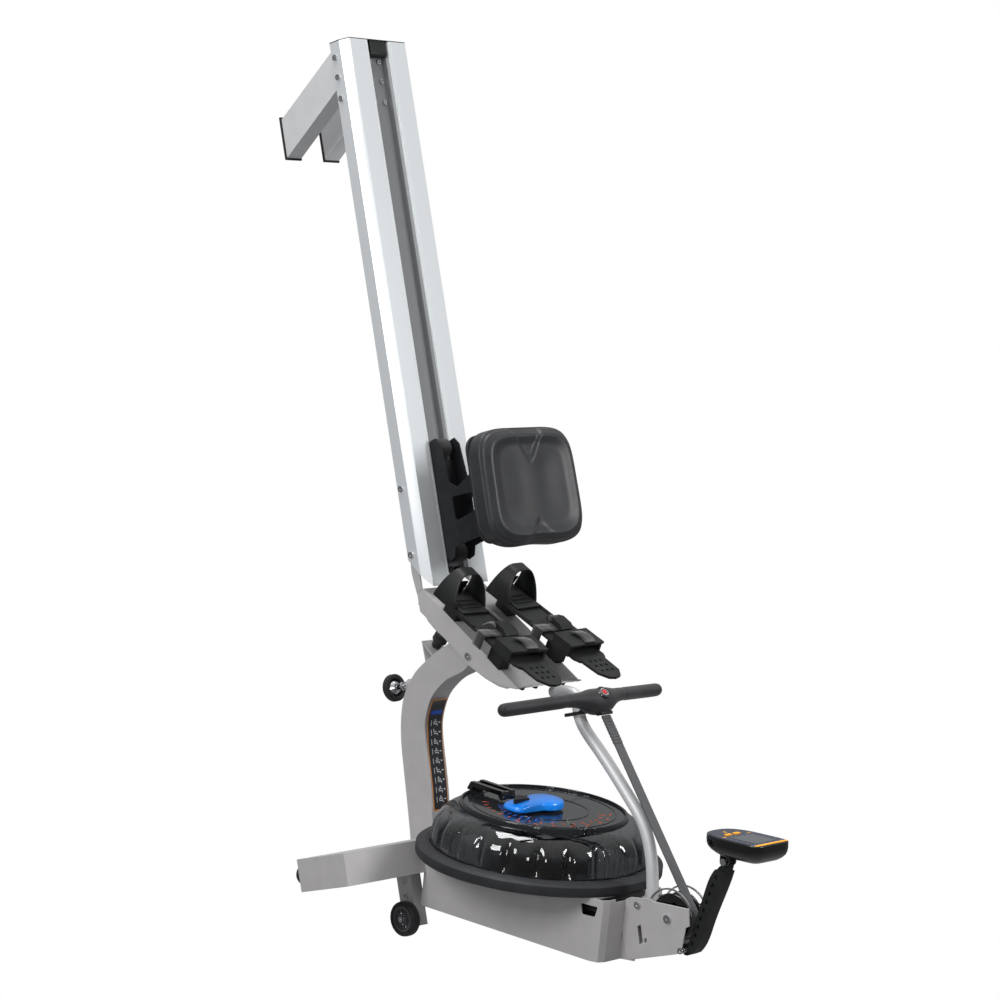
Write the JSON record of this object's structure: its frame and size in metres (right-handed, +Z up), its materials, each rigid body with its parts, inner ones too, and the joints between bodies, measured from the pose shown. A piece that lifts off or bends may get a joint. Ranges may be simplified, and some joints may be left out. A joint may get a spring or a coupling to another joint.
{
  "type": "rowing machine",
  "caption": "Water rowing machine standing on its front end: leaning rail with sliding seat, curved arm, water tank, footrests, belt handle and tilting console.",
  "frame": {"origin": "on the floor, under the middle of the overall length and width, with the machine stored standing on its wheels and nose", "axes": "+Z up; +X from the rear legs side towards the console; +Y across. The rail leans 12 degrees back from +Z towards -X"},
  "size_m": [1.3254, 0.726, 1.8996],
  "materials": {
    "adjuster_grip": "black rubbery insert",
    "adjuster_lever": "bright blue plastic",
    "belt_drum": "black moulded nylon",
    "belt_guards": "bright plated wire",
    "belt_pull": "dark grey woven webbing",
    "belt_pulley": "black moulded nylon",
    "belt_return": "dark grey woven webbing",
    "belt_yoke": "black plastic",
    "centre_foot": "bright plated steel",
    "centre_foot_pad": "black rubber",
    "console_arm": "black moulded nylon",
    "console_button_left": "orange-yellow key",
    "console_button_right": "orange-yellow key",
    "console_case": "gloss black plastic",
    "console_pin": "bright plated pivot bolt",
    "console_screen": "display window",
    "foot_straps": "black webbing",
    "footplate_left": "textured black plastic",
    "footplate_right": "textured black plastic",
    "footrest_channel": "silver-grey powder coat",
    "footrest_ties": "silver-grey powder coat",
    "frame_bolts": "bright button-head screws",
    "frame_buffer": "ribbed black rubber on a plated nut",
    "front_beam": "silver-grey powder coat",
    "front_feet": "black rubber",
    "gusset_plates": "silver-grey powder coat",
    "handle_bar": "soft black grips over a moulded hub",
    "handle_hook": "black plastic",
    "heel_cup_left": "textured black plastic",
    "heel_cup_right": "textured black plastic",
    "housing": "silver-grey powder coat",
    "impeller": "black moulded paddle",
    "impeller_shaft": "stainless steel",
    "inner_baffle": "clear polycarbonate",
    "lid_grab": "black plastic",
    "main_arm": "silver-grey powder coat",
    "nose_pins": "plain steel pins",
    "pulley_plates": "silver-grey powder coat",
    "rail": "satin clear-anodised aluminium extrusion",
    "rail_end_cap": "moulded black plastic",
    "rail_stops": "rubbery stop at the top, plated blocks below",
    "rear_caps": "black rubber feet",
    "rear_legs": "light grey powder coat",
    "s_tube": "silver powder coat tube",
    "seat_carriage": "satin black powder coat",
    "seat_cushion": "charcoal skinned foam",
    "seat_pan": "black plastic",
    "seat_roller_front": "black urethane roller",
    "seat_roller_rear": "black urethane roller",
    "strap_buckles": "black plastic",
    "tank_bottom": "black moulded bowl",
    "tank_lid": "dark smoke-clear polycarbonate",
    "tank_ring": "textured charcoal plastic",
    "tank_shell": "smoke-clear polycarbonate",
    "toe_bumpers": "black rubber",
    "wheel_brackets": "silver-grey powder coat",
    "wheel_hub_left": "translucent grey plastic hub",
    "wheel_hub_right": "translucent grey plastic hub",
    "wheel_tyre_left": "dark urethane tread",
    "wheel_tyre_right": "dark urethane tread"
  },
  "bodies": {
    "frame": {"belt_guards": "belt_guards", "belt_pull": "belt_pull", "belt_return": "belt_return", "foot_straps": "foot_straps", "footplate_left": "footplate_left", "footplate_right": "footplate_right", "footrest_channel": "footrest_channel", "footrest_ties": "footrest_ties", "frame_bolts": "frame_bolts", "frame_buffer": "frame_buffer", "front_beam": "front_beam", "front_feet": "front_feet", "gusset_plates": "gusset_plates", "handle_hook": "handle_hook", "housing": "housing", "inner_baffle": "inner_baffle", "lid_grab": "lid_grab", "main_arm": "main_arm", "nose_pins": "nose_pins", "pulley_plates": "pulley_plates", "rail": "rail", "rail_end_cap": "rail_end_cap", "rail_stops": "rail_stops", "rear_caps": "rear_caps", "rear_legs": "rear_legs", "s_tube": "s_tube", "strap_buckles": "strap_buckles", "tank_bottom": "tank_bottom", "tank_lid": "tank_lid", "tank_ring": "tank_ring", "tank_shell": "tank_shell", "toe_bumpers": "toe_bumpers", "wheel_brackets": "wheel_brackets"},
    "seat": {"seat_carriage": "seat_carriage", "seat_pan": "seat_pan", "seat_cushion": "seat_cushion"},
    "roller_rear": {"seat_roller_rear": "seat_roller_rear"},
    "roller_front": {"seat_roller_front": "seat_roller_front"},
    "handle": {"handle_bar": "handle_bar", "belt_yoke": "belt_yoke"},
    "pulley": {"belt_pulley": "belt_pulley"},
    "drum": {"belt_drum": "belt_drum"},
    "paddle": {"impeller": "impeller", "impeller_shaft": "impeller_shaft"},
    "adjuster": {"adjuster_lever": "adjuster_lever", "adjuster_grip": "adjuster_grip"},
    "console_mast": {"console_arm": "console_arm", "console_pin": "console_pin"},
    "console": {"console_case": "console_case", "console_screen": "console_screen"},
    "key_left": {"console_button_left": "console_button_left"},
    "key_right": {"console_button_right": "console_button_right"},
    "heel_left": {"heel_cup_left": "heel_cup_left"},
    "heel_right": {"heel_cup_right": "heel_cup_right"},
    "wheel_left": {"wheel_tyre_left": "wheel_tyre_left", "wheel_hub_left": "wheel_hub_left"},
    "wheel_right": {"wheel_tyre_right": "wheel_tyre_right", "wheel_hub_right": "wheel_hub_right"},
    "levelling_foot": {"centre_foot": "centre_foot", "centre_foot_pad": "centre_foot_pad"}
  },
  "joints": [
    {"name": "seat_slide", "type": "slide", "parent": "frame", "child": "seat", "axis": [-0.2079, 0, 0.9781], "range_m": [0, 0.735]},
    {"name": "roller_rear_spin", "type": "hinge", "parent": "seat", "child": "roller_rear", "pos_m": [-0.24618, 0, 1.01919], "axis": [0, 1, 0], "continuous": true},
    {"name": "roller_front_spin", "type": "hinge", "parent": "seat", "child": "roller_front", "pos_m": [-0.1994, 0, 0.7991], "axis": [0, 1, 0], "continuous": true},
    {"name": "handle_pull", "type": "slide", "parent": "frame", "child": "handle", "axis": [0, 0, 1], "range_m": [0, 0.9], "deforming": ["belt_pull"]},
    {"name": "pulley_spin", "type": "hinge", "parent": "frame", "child": "pulley", "pos_m": [0.41567, 0, 0.09868], "axis": [0, 1, 0], "continuous": true},
    {"name": "drum_spin", "type": "hinge", "parent": "frame", "child": "drum", "pos_m": [0.02963, 0, 0.10895], "axis": [0.1392, 0, 0.9903], "continuous": true},
    {"name": "paddle_spin", "type": "hinge", "parent": "frame", "child": "paddle", "pos_m": [0.04258, 0, 0.20104], "axis": [0.1392, 0, 0.9903], "continuous": true},
    {"name": "adjuster_turn", "type": "hinge", "parent": "frame", "child": "adjuster", "pos_m": [0.0544, 0, 0.28522], "axis": [0.1392, 0, 0.9903], "range_deg": [0, 100]},
    {"name": "console_arm_fold", "type": "hinge", "parent": "frame", "child": "console_mast", "pos_m": [0.4507, 0, 0.03967], "axis": [0, 1, 0], "range_deg": [0, 40]},
    {"name": "console_tilt", "type": "hinge", "parent": "console_mast", "child": "console", "pos_m": [0.54487, 0, 0.2262], "axis": [0, 1, 0], "range_deg": [-20, 30]},
    {"name": "key_left_press", "type": "slide", "parent": "console", "child": "key_left", "axis": [-0.0732, 0, -0.9973], "range_m": [0, 0.002]},
    {"name": "key_right_press", "type": "slide", "parent": "console", "child": "key_right", "axis": [-0.0732, 0, -0.9973], "range_m": [0, 0.002]},
    {"name": "heel_left_slide", "type": "slide", "parent": "frame", "child": "heel_left", "axis": [0.8832, -0.0401, -0.4672], "range_m": [0, 0.04]},
    {"name": "heel_right_slide", "type": "slide", "parent": "frame", "child": "heel_right", "axis": [0.8832, 0.0401, -0.4672], "range_m": [0, 0.04]},
    {"name": "wheel_left_spin", "type": "hinge", "parent": "frame", "child": "wheel_left", "pos_m": [-0.19179, -0.165, 0.03703], "axis": [0, 1, 0], "continuous": true},
    {"name": "wheel_right_spin", "type": "hinge", "parent": "frame", "child": "wheel_right", "pos_m": [-0.19179, 0.165, 0.03703], "axis": [0, 1, 0], "continuous": true},
    {"name": "levelling_foot_screw", "type": "slide", "parent": "frame", "child": "levelling_foot", "axis": [-0.9781, 0, -0.2079], "range_m": [-0.008, 0.008]}
  ],
  "couplings": [
    {"joint": "roller_rear_spin", "follows": "seat_slide", "rad_per_m": -47.733},
    {"joint": "roller_front_spin", "follows": "seat_slide", "rad_per_m": -47.733},
    {"joint": "pulley_spin", "follows": "handle_pull", "rad_per_m": -23.753},
    {"joint": "drum_spin", "follows": "handle_pull", "rad_per_m": -28.129}
  ]
}
